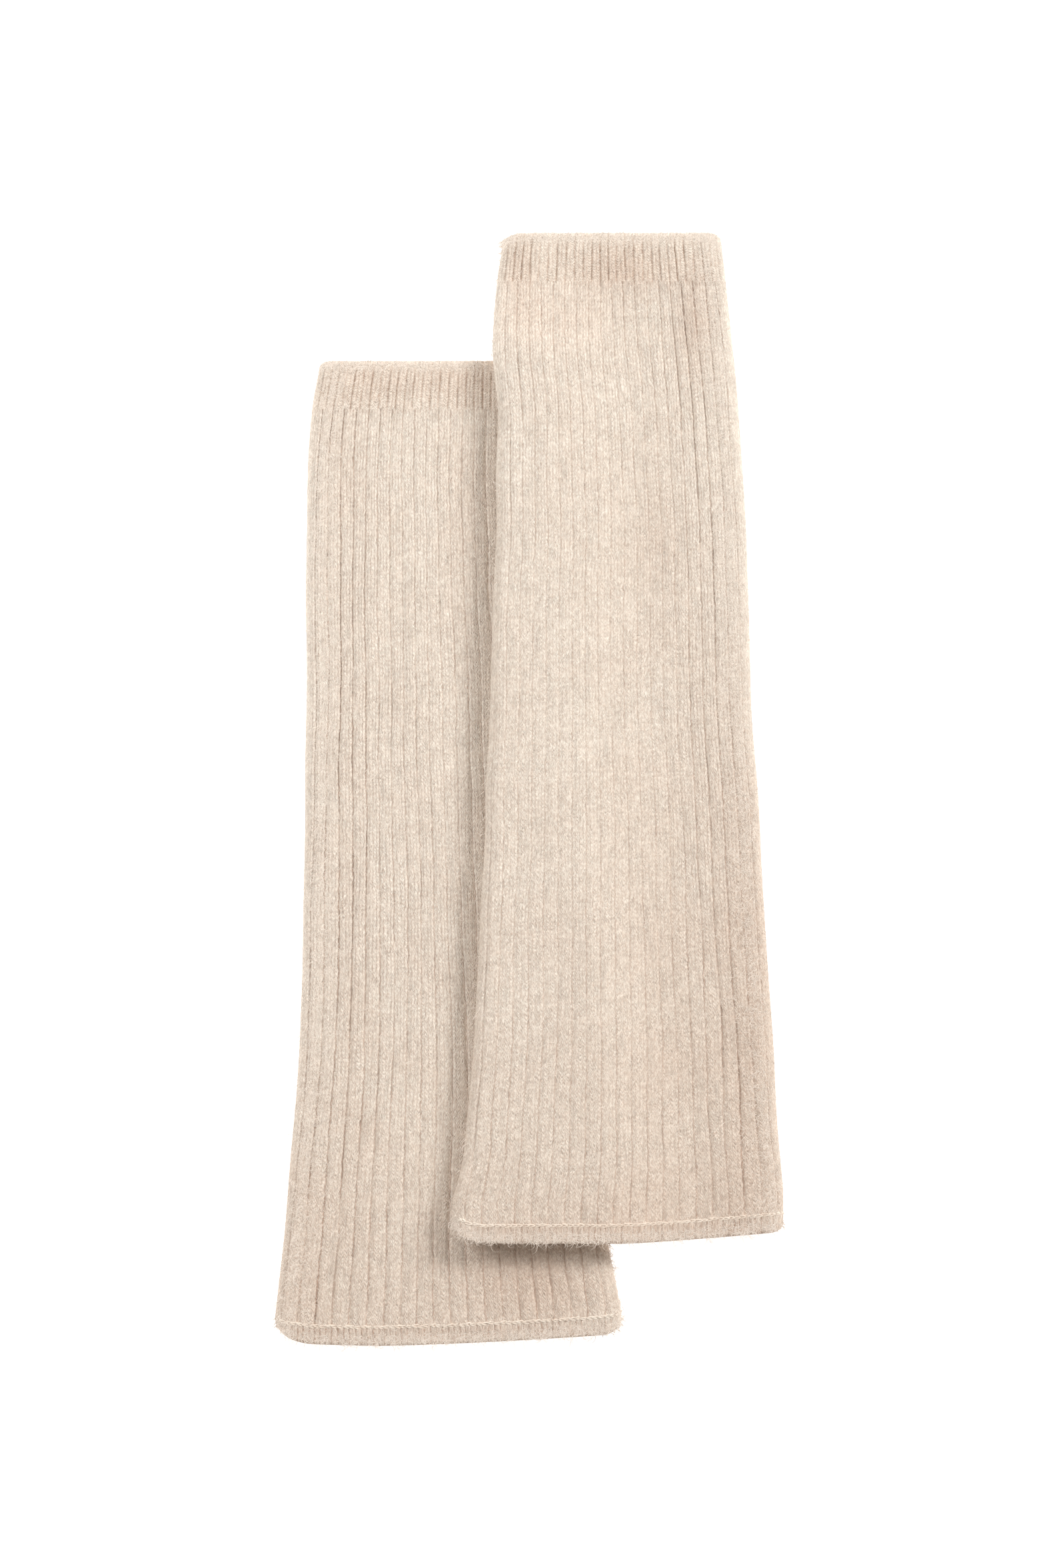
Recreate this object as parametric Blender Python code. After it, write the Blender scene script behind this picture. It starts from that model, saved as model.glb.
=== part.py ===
# A pair of long, ribbed, fingerless wool gloves lying flat, the right one partly over the left one.
# Metres, +Z up. The gloves lie along Y with their wrist cuffs towards +Y. The origin is on the
# surface they lie on, at the middle of the pair's outline.

import math

import bmesh
import bpy

# The fabric and how a glove lies
WALL = 0.0022             # thickness of the rib fabric
TUBE_THICKNESS = 0.0104   # outer thickness of a glove: two layers and the room between them
FOLD_REACH = 0.0062       # width of the rounded fold at each side of a glove
LAYER_GAP = 0.0005        # between the left glove and the right one on top of it
FLOOR_GAP = 0.0003        # between the right glove and the surface beside the left one
TOUCH_GAP = 0.0003        # between pieces of one glove that touch

# The bands of a glove, measured along it
CUFF_LENGTH = 0.0183
HEM_LENGTH = 0.0066
CHAIN_WIDTH = 0.0012      # the linking chain between body and hem, along the glove
CHAIN_DEPTH = 0.0013      # and through the fabric
CHAIN_SINK = 0.0003       # how far the chain lies below the fabric's outer face

# The side seam, on the underside just inside one of the folds
SEAM_WIDTH = 0.0014
SEAM_SINK = 0.0003        # how far the seam lies below the fabric's outer face
SEAM_DEPTH = 0.0016
SEAM_INSET = 0.0020       # from the end of the fold to the middle of the seam
SEAM_END_MARGIN = 0.0006  # the seam stops this short of both ends

# How the ends of a glove are shaped
WRIST_CORNER = (0.009, 0.0026)   # how far in from a side the end bends, and how far it bends back
WRIST_CORNER_FADE = 0.020
HEM_CURVE_POWER = 1.4     # how suddenly the hem rises towards its end
HEM_CURVE_FADE = 0.060    # length over which the hem's curve dies out into straight courses
HEM_CURVE_FULL = 0.010    # the last stretch of a glove follows the hem's curve fully

# How the right glove comes down off the left one
DROP_WIDTH = 0.042        # sideways, past the left glove's right fold
DROP_LENGTH = 0.034       # along, past the left glove's wrist end
DROP_OVERHANG = 0.002     # it starts to fall this far inside the left glove's fold

# Facets
FOLD_STEPS = 5
FACE_STEPS = 10
FINE_STEP = 0.006
COARSE_STEP = 0.022

# An edge is a list of places (distance from the wrist end, X) that a smooth curve passes through.
LEFT_GLOVE = {
    "name": "left",
    "wrist_y": 0.1616,
    "length": 0.3715,
    "left_edge": ((0.0, -0.0790), (0.020, -0.0822), (0.050, -0.0839), (0.150, -0.0845),
                  (0.250, -0.0866), (0.305, -0.0902), (0.362, -0.0958)),
    "right_edge": ((0.0, 0.0040), (0.045, 0.0062), (0.163, 0.0135), (0.288, 0.0252),
                   (0.335, 0.0296), (0.362, 0.0345)),
    "hem_low": 0.30,            # where across the hem its lowest point lies
    "hem_rise": (0.0012, 0.0045),
    "hem_corners": ((0.013, 0.0070), (0.006, 0.0040)),
    "seam_side": 1,             # the seam is near the right fold
    "fine_until": 0.0,
}
RIGHT_GLOVE = {
    "name": "right",
    "wrist_y": 0.2099,
    "length": 0.3810,
    "left_edge": ((0.0, -0.0100), (0.018, -0.0120), (0.045, -0.0137), (0.072, -0.0120),
                  (0.160, -0.0144), (0.288, -0.0200), (0.345, -0.0245), (0.366, -0.0290)),
    "right_edge": ((0.0, 0.0722), (0.030, 0.0755), (0.102, 0.0813), (0.163, 0.0834),
                   (0.288, 0.0907), (0.366, 0.0958)),
    "hem_low": 0.50,
    "hem_rise": (0.0, 0.0043),
    "hem_corners": ((0.010, 0.0055), (0.006, 0.0030)),
    "seam_side": -1,            # the seam is near the left fold
    "fine_until": 0.056,
}

# Colours as linear RGB
PIECE_LOOKS = {
    "body_panel": ((0.79, 0.69, 0.57), 0.95),
    "wrist_cuff": ((0.75, 0.65, 0.53), 0.95),
    "elbow_hem": ((0.76, 0.66, 0.54), 0.95),
    "hem_chain": ((0.80, 0.71, 0.59), 0.90),
    "side_seam": ((0.72, 0.62, 0.50), 0.90),
}


def clear_scene():
    for obj in list(bpy.data.objects):
        bpy.data.objects.remove(obj)


def wool_material(name, color, roughness):
    material = bpy.data.materials.new(name)
    material.use_nodes = True
    shader = material.node_tree.nodes["Principled BSDF"]
    shader.inputs["Base Color"].default_value = (*color, 1.0)
    shader.inputs["Roughness"].default_value = roughness
    shader.inputs["Metallic"].default_value = 0.0
    material.diffuse_color = (*color, 1.0)
    return material


def smooth_step(value):
    value = min(max(value, 0.0), 1.0)
    return value * value * (3.0 - 2.0 * value)


def slope_at(points, index):
    # The slope of the curve at one of its points, from the points on either side.
    before = points[max(index - 1, 0)]
    after = points[min(index + 1, len(points) - 1)]
    return (after[1] - before[1]) / (after[0] - before[0])


def curve_at(points, along):
    # A cubic curve through the points, held level past its last one.
    along = min(max(along, points[0][0]), points[-1][0])
    index = max(i for i in range(len(points) - 1) if points[i][0] <= along)
    (start, low), (end, high) = points[index], points[index + 1]
    span = end - start
    part = (along - start) / span
    ease = smooth_step(part)
    leave = part * (1.0 - part) ** 2 * span * slope_at(points, index)
    arrive = part ** 2 * (part - 1.0) * span * slope_at(points, index + 1)
    return low + (high - low) * ease + leave + arrive


def corner_rise(distance, corner):
    # How far a rounded corner bends the end back, at a distance in from the side.
    reach, depth = corner
    return depth * max(1.0 - distance / reach, 0.0) ** 2


def end_shift(glove, along, across, width):
    # How far a point moves in Y because the wrist end and the hem aren't straight.
    to_right = width - across
    wrist_part = 1.0 - smooth_step(along / WRIST_CORNER_FADE)
    wrist_drop = corner_rise(min(across, to_right), WRIST_CORNER)
    place = across / width
    low = glove["hem_low"]
    left_part = max(low - place, 0.0) / low
    right_part = max(place - low, 0.0) / (1.0 - low)
    hem_rise = glove["hem_rise"][0] * left_part ** HEM_CURVE_POWER
    hem_rise += glove["hem_rise"][1] * right_part ** HEM_CURVE_POWER
    hem_rise += corner_rise(across, glove["hem_corners"][0])
    hem_rise += corner_rise(to_right, glove["hem_corners"][1])
    from_hem = glove["length"] - along - HEM_CURVE_FULL
    hem_part = 1.0 - smooth_step(from_hem / HEM_CURVE_FADE)
    return hem_rise * hem_part - wrist_drop * wrist_part


def rest_height(glove, x, y):
    # The height of what lies under a glove: the table, or the left glove and the slope off it.
    if glove is LEFT_GLOVE:
        return 0.0
    along = LEFT_GLOVE["wrist_y"] - y
    edge = curve_at(LEFT_GLOVE["right_edge"], along)
    past_side = smooth_step((x - edge + DROP_OVERHANG) / DROP_WIDTH)
    past_end = smooth_step(-along / DROP_LENGTH)
    held = (1.0 - past_side) * (1.0 - past_end)
    return FLOOR_GAP + (TUBE_THICKNESS + LAYER_GAP - FLOOR_GAP) * held


def fold_points(middle, direction, start_angle, inset):
    # A half turn of the fabric about a side of the glove, from one face to the other.
    points = []
    for step in range(FOLD_STEPS + 1):
        angle = start_angle + math.pi * step / FOLD_STEPS
        across = middle + direction * abs(math.cos(angle)) * (FOLD_REACH - inset)
        height = 0.5 * TUBE_THICKNESS + math.sin(angle) * (0.5 * TUBE_THICKNESS - inset)
        points.append((across, height))
    return points


def seam_middle(width):
    return width - FOLD_REACH - SEAM_INSET


def section_outline(width, inset):
    # Once around the flattened tube, from one side of the side seam to its other side.
    slit = 0.5 * SEAM_WIDTH + TOUCH_GAP
    left_middle = FOLD_REACH
    right_middle = width - FOLD_REACH
    face = right_middle - left_middle
    points = [(seam_middle(width) + slit, inset)]
    points += fold_points(right_middle, 1, -0.5 * math.pi, inset)
    for step in range(1, FACE_STEPS):
        points.append((right_middle - face * step / FACE_STEPS, TUBE_THICKNESS - inset))
    points += fold_points(left_middle, -1, 0.5 * math.pi, inset)
    run = seam_middle(width) - slit - left_middle
    for step in range(1, FACE_STEPS + 1):
        points.append((left_middle + run * step / FACE_STEPS, inset))
    return points


def seam_outline(width, inset):
    # The four corners of the seam's section, inside the slit.
    middle = seam_middle(width)
    half = 0.5 * SEAM_WIDTH
    top = inset + SEAM_DEPTH
    return [(middle - half, inset), (middle + half, inset), (middle + half, top), (middle - half, top)]


def place_outline(glove, along, outline_of, inset):
    # Puts a section's outline where the glove is, at a distance from its wrist end. Inner faces
    # bend with the outer face at the ends, so that neighbouring pieces stay apart.
    left = curve_at(glove["left_edge"], along)
    right = curve_at(glove["right_edge"], along)
    width = right - left
    places = []
    for (across, height), (outer_across, _) in zip(outline_of(width, inset), outline_of(width, 0.0)):
        if glove["seam_side"] < 0:
            across = width - across
            outer_across = width - outer_across
        x = left + across
        y = glove["wrist_y"] - along + end_shift(glove, along, outer_across, width)
        places.append((x, y, rest_height(glove, x, y) + height))
    return places


def band_marks(glove):
    # Where the bands of a glove end: cuff, body, chain and hem.
    hem_start = glove["length"] - HEM_LENGTH
    chain_end = hem_start - TOUCH_GAP
    chain_start = chain_end - CHAIN_WIDTH
    return CUFF_LENGTH, chain_start - TOUCH_GAP, chain_start, chain_end, hem_start


def all_stations(glove):
    # Every place along a glove where its pieces have a section, closer together on the slope.
    marks = (0.0, *band_marks(glove), glove["length"])
    places = list(marks)
    along = FINE_STEP
    while along < glove["length"]:
        if min(abs(along - mark) for mark in marks) > 0.5 * FINE_STEP:
            places.append(along)
        along += FINE_STEP if along < glove["fine_until"] else COARSE_STEP
    return sorted(places)


def stations(glove, start, end):
    # The sections of a piece: its two ends and every shared place between them.
    inside = [place for place in all_stations(glove) if start + TOUCH_GAP < place < end - TOUCH_GAP]
    return [start, *inside, end]


def add_object(glove, piece, mesh_maker):
    mesh = bpy.data.meshes.new(piece)
    shape = bmesh.new()
    mesh_maker(shape)
    bmesh.ops.recalc_face_normals(shape, faces=shape.faces)
    shape.to_mesh(mesh)
    shape.free()
    obj = bpy.data.objects.new(f"{glove['name']}_{piece}", mesh)
    color, roughness = PIECE_LOOKS[piece]
    mesh.materials.append(wool_material(f"{glove['name']}_{piece}", color, roughness))
    bpy.context.collection.objects.link(obj)
    obj.parent = glove["holder"]
    obj.matrix_parent_inverse = glove["holder"].matrix_world.inverted()
    mesh.shade_smooth()
    mesh.set_sharp_from_angle(angle=math.radians(40))
    return obj


def bridge_rows(shape, row, next_row):
    for index in range(len(row) - 1):
        shape.faces.new((row[index], row[index + 1], next_row[index + 1], next_row[index]))


def split_tube(glove, start, end, outer_inset, inner_inset):
    # A tube of fabric between two stations, open along the side seam.
    def make(shape):
        outer_rows = []
        inner_rows = []
        for along in stations(glove, start, end):
            outer = place_outline(glove, along, section_outline, outer_inset)
            inner = place_outline(glove, along, section_outline, inner_inset)
            outer_rows.append([shape.verts.new(place) for place in outer])
            inner_rows.append([shape.verts.new(place) for place in inner])
        for index in range(len(outer_rows) - 1):
            bridge_rows(shape, outer_rows[index], outer_rows[index + 1])
            bridge_rows(shape, inner_rows[index], inner_rows[index + 1])
        for side in (0, -1):
            bridge_rows(shape, [row[side] for row in outer_rows], [row[side] for row in inner_rows])
            bridge_rows(shape, outer_rows[side], inner_rows[side])
    return make


def seam_strip(glove):
    # The strip of linking stitches that fills the slit from end to end.
    def make(shape):
        rows = []
        for along in stations(glove, SEAM_END_MARGIN, glove["length"] - SEAM_END_MARGIN):
            corners = place_outline(glove, along, seam_outline, SEAM_SINK)
            rows.append([shape.verts.new(place) for place in corners])
        for row, next_row in zip(rows, rows[1:]):
            bridge_rows(shape, row + row[:1], next_row + next_row[:1])
        shape.faces.new(rows[0])
        shape.faces.new(rows[-1])
    return make


def build_glove(glove):
    holder = bpy.data.objects.new(f"{glove['name']}_glove", None)
    bpy.context.collection.objects.link(holder)
    middle = 0.5 * (glove["left_edge"][0][1] + glove["right_edge"][0][1])
    holder.location = (middle, glove["wrist_y"], 0.0)
    bpy.context.view_layer.update()
    glove["holder"] = holder

    cuff_end, body_end, chain_start, chain_end, hem_start = band_marks(glove)
    add_object(glove, "wrist_cuff", split_tube(glove, 0.0, cuff_end, 0.0, WALL))
    add_object(glove, "body_panel", split_tube(glove, cuff_end + TOUCH_GAP, body_end, 0.0, WALL))
    chain = split_tube(glove, chain_start, chain_end, CHAIN_SINK, CHAIN_SINK + CHAIN_DEPTH)
    add_object(glove, "hem_chain", chain)
    add_object(glove, "elbow_hem", split_tube(glove, hem_start, glove["length"], 0.0, WALL))
    add_object(glove, "side_seam", seam_strip(glove))


def main():
    clear_scene()
    for glove in (LEFT_GLOVE, RIGHT_GLOVE):
        build_glove(glove)


main()
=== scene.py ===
import math

import bpy
import numpy as np
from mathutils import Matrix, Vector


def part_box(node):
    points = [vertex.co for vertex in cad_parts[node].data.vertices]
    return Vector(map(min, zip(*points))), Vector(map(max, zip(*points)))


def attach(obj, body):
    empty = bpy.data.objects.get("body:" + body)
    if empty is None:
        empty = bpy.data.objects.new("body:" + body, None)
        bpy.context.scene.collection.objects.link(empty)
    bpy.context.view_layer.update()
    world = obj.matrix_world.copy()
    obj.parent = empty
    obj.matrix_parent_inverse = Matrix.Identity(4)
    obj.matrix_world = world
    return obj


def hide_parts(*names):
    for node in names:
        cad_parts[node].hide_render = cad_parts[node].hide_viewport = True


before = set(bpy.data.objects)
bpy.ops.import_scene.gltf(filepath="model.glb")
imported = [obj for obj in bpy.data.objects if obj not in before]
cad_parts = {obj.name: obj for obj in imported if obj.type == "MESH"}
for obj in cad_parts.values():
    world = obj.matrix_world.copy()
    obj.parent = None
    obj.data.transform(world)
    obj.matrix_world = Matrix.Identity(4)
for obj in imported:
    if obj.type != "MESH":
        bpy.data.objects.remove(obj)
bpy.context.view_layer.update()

# A pair of ribbed wool fingerless gloves, lying flat, the right one partly over the left one.
print("frame loaded")

# How the fabric is knitted and how thick it is. Lengths are in metres everywhere.
fabric = {
    "wall": 0.0022,
    "hemWidth": 0.0069,
    "seamInset": 0.0020,       # how far inside the fold the side seam lies
    "foldReach": 0.0062,       # width of the rounded fold at each side
    "wales": 168,              # columns of stitches once round a glove
    "course": 0.00153,         # height of one row of stitches
    "cuffCourse": 0.00100,     # the cuff is knitted tighter
    "bodyRepeat": 4,           # columns from one groove to the next
    "cuffRepeat": 3,           # the cuff's ribs are narrower, each of two wide columns
    "cuffBlend": (0.0012, 0.0026),       # the ribs change this far before the cuff's end, over this length
    "frontSamples": 4,         # points for each column on the upper side
    "backSamples": 2,
    "sharpAngle": 1.3,         # edges that turn more than this stay sharp, in radians
}

# Each glove, from its wrist end. An edge passes smoothly through (distance from the wrist end, X).
gloves = {
    "left": {
        "body": "left_glove",
        "leftEdge": ((0.0, -0.0790), (0.020, -0.0822), (0.050, -0.0839), (0.150, -0.0845),
                     (0.250, -0.0866), (0.305, -0.0902), (0.362, -0.0958)),
        "rightEdge": ((0.0, 0.0040), (0.045, 0.0062), (0.163, 0.0135), (0.288, 0.0252),
                      (0.335, 0.0296), (0.362, 0.0345)),
        "hemLow": 0.30,        # where across the hem its lowest point lies
        "hemRise": (0.0012, 0.0045),   # how much higher its two ends lie
        # Each corner: how far along and how far up it is rounded, and how far up that is felt.
        "hemCorners": ((0.015, 0.0075, 0.012), (0.007, 0.0045, 0.010)),
        "wristCorners": ((0.004, 0.0012), (0.004, 0.0012)),
        "seamSide": 1,
        "seed": 3.1,
        "darkerWoolAndPaintedShade": (        # (X, Y, half width, half length, strength) of darker patches: partly darker wool, partly painted shadow beside and under the right glove and painted shade along the deep side ribs
            (-0.066, 0.02, 0.006, 0.17, 0.10), (-0.085, -0.17, 0.020, 0.05, 0.20),
            (-0.002, -0.185, 0.030, 0.018, 0.45), (-0.070, 0.12, 0.010, 0.02, 0.15),
            (-0.045, 0.154, 0.045, 0.009, 0.30), (-0.022, 0.10, 0.012, 0.05, 0.20),
        ),
        # How strongly the ribs show, from the wrist down.
        "ribStrength": ((0.0, 1.05), (0.08, 1.05), (0.16, 1.05), (0.37, 1.40)),
    },
    "right": {
        "body": "right_glove",
        "leftEdge": ((0.0, -0.0100), (0.018, -0.0120), (0.045, -0.0137), (0.072, -0.0120),
                     (0.160, -0.0144), (0.288, -0.0200), (0.345, -0.0245), (0.366, -0.0290)),
        "rightEdge": ((0.0, 0.0722), (0.030, 0.0755), (0.102, 0.0813), (0.163, 0.0834),
                      (0.288, 0.0907), (0.366, 0.0958)),
        "hemLow": 0.50,
        "hemRise": (0.0, 0.0043),
        "hemCorners": ((0.014, 0.0080, 0.022), (0.004, 0.0022, 0.008)),
        "wristCorners": ((0.010, 0.0030), (0.005, 0.0018)),
        "seamSide": -1,
        "seed": 8.6,
        # Darker patches: partly darker wool, partly painted shade down the right side, where the glove
        # bends down off the left one, and near the wrist
        "darkerWoolAndPaintedShade": (
            (0.036, 0.195, 0.018, 0.010, 0.50), (0.062, 0.176, 0.007, 0.020, 0.55),
            (0.084, -0.07, 0.013, 0.11, 0.46), (-0.004, 0.195, 0.006, 0.020, 0.30),
            (0.050, 0.085, 0.010, 0.03, 0.20), (0.055, -0.17, 0.05, 0.02, 0.15),
            (0.010, 0.178, 0.022, 0.012, 0.35), (0.050, -0.075, 0.024, 0.115, 0.20),
            (0.028, 0.11, 0.022, 0.060, 0.12),
        ),
        "ribStrength": ((0.0, 1.05), (0.05, 1.00), (0.16, 0.72), (0.25, 0.82), (0.37, 1.15)),
    },
}

# How a glove's ends bend, and how the right glove comes down off the left one.
lying = {
    "wristFade": 0.020,
    "hemPower": 1.4,
    "hemFade": 0.060,
    "hemFull": 0.010,
    "dropWidth": 0.042,
    "dropLength": 0.034,
    "dropOverhang": 0.002,
    "sag": 0.0004,             # how far the upper layer sinks here and there
    "edgeWander": 0.0003,      # how far the sides stray from a smooth line
    "ribWander": 0.24,         # how far the ribs stray sideways, in columns
    "ribWaves": ((1.6, 0.11, 1.0), (5.0, 0.034, 0.45)),    # (turns round, length along, share)
    "edgeWave": 0.05,          # length of the sides' waves
    "sagWaves": (0.09, 0.13),  # width and length of the dips
    "upperLayer": (0.3, 0.6),  # from this share of the thickness the sag sets in, over this share
    "offTable": 0.00004,       # nothing lies lower than this
}


def smoothStep(value):
    value = np.clip(value, 0.0, 1.0)
    return value * value * (3.0 - 2.0 * value)


def curveAt(points, along):
    # A smooth curve through a few points, level past its ends.
    places, values = np.array(points).T
    slopes = np.empty(len(places))
    slopes[1:-1] = (values[2:] - values[:-2]) / (places[2:] - places[:-2])
    slopes[0] = (values[1] - values[0]) / (places[1] - places[0])
    slopes[-1] = (values[-1] - values[-2]) / (places[-1] - places[-2])
    along = np.clip(along, places[0], places[-1])
    index = np.clip(np.searchsorted(places, along, side="right") - 1, 0, len(places) - 2)
    span = places[index + 1] - places[index]
    part = (along - places[index]) / span
    leave = part * (1.0 - part) ** 2 * span * slopes[index]
    arrive = part ** 2 * (part - 1.0) * span * slopes[index + 1]
    return values[index] + (values[index + 1] - values[index]) * smoothStep(part) + leave + arrive


def ripple(x, y, seed):
    # Soft, even noise between about -1 and 1, from a few slanting waves.
    draw = np.random.default_rng(int(seed * 1000))
    count, circle = 5, 6.283
    total = 0.0
    for _ in range(count):
        turn, size, start = draw.uniform(0.0, circle), draw.uniform(0.6, 1.6), draw.uniform(0.0, circle)
        total = total + np.sin((x * math.cos(turn) + y * math.sin(turn)) * size * circle + start)
    return total / math.sqrt(2.0 * count)


def unit(vectors):
    return vectors / np.linalg.norm(vectors, axis=1)[:, None]


def ringsAround(centres, side, up, radius, sides):
    # Points round each centre, in the plane of its side and up directions.
    turn = 2.0 * math.pi * np.arange(sides) / sides
    return centres[:, None] + radius * (np.cos(turn)[None, :, None] * side[:, None]
                                        + np.sin(turn)[None, :, None] * up[:, None])


def measureGloves():
    # Ends and thickness of each glove as the frame has them.
    for side, glove in gloves.items():
        cuffLow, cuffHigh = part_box(f"{side}_wrist_cuff")
        glove["side"] = side
        glove["wristY"] = cuffHigh.y
        glove["length"] = cuffHigh.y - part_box(f"{side}_elbow_hem")[0].y
        glove["cuffEnd"] = cuffHigh.y - cuffLow.y
        glove["floor"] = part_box(f"{side}_body_panel")[0].z
    bodyLow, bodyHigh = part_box("left_body_panel")
    fabric["thickness"] = bodyHigh.z - bodyLow.z
    lying["overLeft"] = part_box("right_body_panel")[1].z - fabric["thickness"]


def foldTable():
    # Distance run round half an ellipse, so that stitches keep their width over a fold.
    angles = np.linspace(-0.5 * math.pi, 0.5 * math.pi, 400)
    across = fabric["foldReach"] * np.cos(angles)
    height = 0.5 * fabric["thickness"] * np.sin(angles)
    steps = np.hypot(np.diff(across), np.diff(height))
    return angles, np.concatenate(([0.0], np.cumsum(steps)))


def cornerRise(distance, corner):
    # A quarter of an ellipse, a little short of upright at its end so that no wall stands there.
    reach, depth = corner
    left = np.clip(1.0 - distance / reach, 0.0, 1.0)
    return depth * (1.0 - np.sqrt(1.0 - 0.995 * left ** 2))


def endShift(glove, along, across, width):
    # How far a point moves in Y because the wrist end and the hem aren't straight.
    toRight = width - across
    wristPart = 1.0 - smoothStep(along / lying["wristFade"])
    wristDrop = cornerRise(across, glove["wristCorners"][0]) + cornerRise(toRight, glove["wristCorners"][1])
    place = across / width
    leftPart = np.maximum(glove["hemLow"] - place, 0.0) / glove["hemLow"]
    rightPart = np.maximum(place - glove["hemLow"], 0.0) / (1.0 - glove["hemLow"])
    rise = glove["hemRise"][0] * leftPart ** lying["hemPower"]
    rise = rise + glove["hemRise"][1] * rightPart ** lying["hemPower"]
    fromHem = glove["length"] - along
    rise = rise * (1.0 - smoothStep((fromHem - lying["hemFull"]) / lying["hemFade"]))
    for distance, (reach, depth, fade) in zip((across, toRight), glove["hemCorners"]):
        rise = rise + cornerRise(distance, (reach, depth)) * (1.0 - smoothStep(fromHem / fade))
    return rise - wristDrop * wristPart


def restHeight(glove, x, y):
    # The height of what lies under a glove.
    if glove["side"] == "left":
        return np.full(np.shape(x), glove["floor"])
    left = gloves["left"]
    along = left["wristY"] - y
    edge = curveAt(left["rightEdge"], along)
    pastSide = smoothStep((x - edge + lying["dropOverhang"]) / lying["dropWidth"])
    pastEnd = smoothStep(-along / lying["dropLength"])
    held = (1.0 - pastSide) * (1.0 - pastEnd)
    return glove["floor"] + (lying["overLeft"] - glove["floor"]) * held


def section(width, turn, inset):
    # A point once round the flattened tube, from the seam over the near fold, across the top,
    # and back underneath. Returns its place across and its height, both inset into the fabric,
    # its place across on the outer face, and its outward direction.
    angles, arc = fabric["fold"]
    reach, half, fold = fabric["foldReach"], 0.5 * fabric["thickness"], arc[-1]
    face = width - 2.0 * reach
    run = turn * 2.0 * (face + fold) - fabric["seamInset"]
    nearFold = np.interp(run, arc, angles)
    farFold = np.interp(2.0 * fold + face - run, arc, angles)
    level = np.zeros_like(run)
    # The first that holds: underneath before the near fold, near fold, top, far fold.
    places = [run < 0.0, run < fold, run < fold + face, run < 2.0 * fold + face]
    across = np.select(places, [
        width - reach + run,
        width - reach + reach * np.cos(nearFold),
        width - reach - (run - fold),
        reach - reach * np.cos(farFold),
    ], reach + run - 2.0 * fold - face)
    height = np.select(places, [
        level,
        half + half * np.sin(nearFold),
        level + 2.0 * half,
        half + half * np.sin(farFold),
    ], 0.0)
    outX = np.select(places, [level, np.cos(nearFold) / reach, level, -np.cos(farFold) / reach], 0.0)
    outZ = np.select(places, [level - 1.0, np.sin(nearFold) / half, level + 1.0,
                              np.sin(farFold) / half], -1.0)
    size = np.hypot(outX, outZ)
    outX, outZ = outX / size, outZ / size
    return across - outX * inset, height - outZ * inset, across, outX, outZ


def cuffShare(glove, along):
    start, reach = fabric["cuffBlend"]
    return 1.0 - smoothStep((along - glove["cuffEnd"] + start) / reach)


def place(glove, wales, along, inset=0.0, lift=0.0):
    # Where a stitch lies: wales counts columns from the seam, along is measured from the wrist.
    # inset goes into the fabric and lift out of it. Also returns the outward directions.
    wales, along, inset, lift = np.broadcast_arrays(wales, along, inset, lift)
    angle = 2.0 * math.pi * wales / fabric["wales"]
    wander = 0.0
    for index, (turns, reach, share) in enumerate(lying["ribWaves"]):
        wave = ripple(np.cos(angle) * turns, np.sin(angle) * turns + along / reach, glove["seed"] + index)
        wander = wander + share * wave
    turn = (wales + lying["ribWander"] * wander) / fabric["wales"]
    leftWander = lying["edgeWander"] * ripple(along / lying["edgeWave"], 0.0, glove["seed"] + 2.0)
    rightWander = lying["edgeWander"] * ripple(along / lying["edgeWave"], 0.0, glove["seed"] + 3.0)
    left = curveAt(glove["leftEdge"], along) + leftWander
    right = curveAt(glove["rightEdge"], along) + rightWander
    width = right - left
    across, height, outerAcross, outX, outZ = section(width, np.mod(turn, 1.0), inset - lift)
    if glove["seamSide"] < 0:
        across, outerAcross, outX = width - across, width - outerAcross, -outX
    x = left + across
    y = glove["wristY"] - along + endShift(glove, along, outerAcross, width)
    under = restHeight(glove, x, y)
    upperFrom, upperOver = lying["upperLayer"]
    top = smoothStep((height / fabric["thickness"] - upperFrom) / upperOver)
    dipWidth, dipLength = lying["sagWaves"]
    sag = ripple(x / dipWidth, y / dipLength, glove["seed"] + 4.0) - 1.0
    z = under + height + lying["sag"] * 0.5 * sag * top
    return np.stack((x, y, z), -1), np.stack((outX, np.zeros_like(outX), outZ), -1)


# Relief is measured inwards from the outer face, so nothing sinks into what a glove lies on.
relief = {
    "bodyGroove": 0.00040,
    "bodyReach": 0.80,         # half the width of a groove, in columns
    "cuffGroove": 0.00054,
    "cuffReach": 0.60,
    "bodyDip": 0.00014,        # between neighbouring columns of stitches
    "cuffDip": 0.00026,
    "ribRound": 0.00010,
    "unevenness": 0.38,
    "uneven": (0.15, 1.35),    # a groove's least and greatest share of its depth
    "unevenWaves": ((0.37, 0.07, 1.0), (0.61, 0.012, 0.6)),   # (step from rib to rib, length, share)
    "edgeScallop": 0.00035,    # how far the ribs stand out past the grooves at the wrist edge
    "scallopReach": 0.004,
    "besideFold": (0.465, 8.0, 0.65),    # (place round, reach in columns, how much deeper)
    "wristEdge": (0.45, 0.001, 0.006),   # (strength at the edge, where it starts to grow, over how far)
    "looser": (0.50, 0.20, 0.14),        # (how much the fine lines fade, from where, over how far)
    "strongestLine": 1.15,
    "inFold": (0.08, 0.50),    # what is left in a fold, and how level the fabric is where it sets in
}


def ribStrength(glove, wales, along):
    # The ribs are deepest beside the fold away from the seam.
    middle, reach, deeper = relief["besideFold"]
    beside = np.exp(-((wales - middle * fabric["wales"]) / reach) ** 2)
    body = curveAt(glove["ribStrength"], along) + deeper * beside
    least, start, rise = relief["wristEdge"]
    cuff = least + (1.0 - least) * smoothStep((along - start) / rise)
    share = cuffShare(glove, along)
    return share * cuff + (1.0 - share) * body


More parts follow.
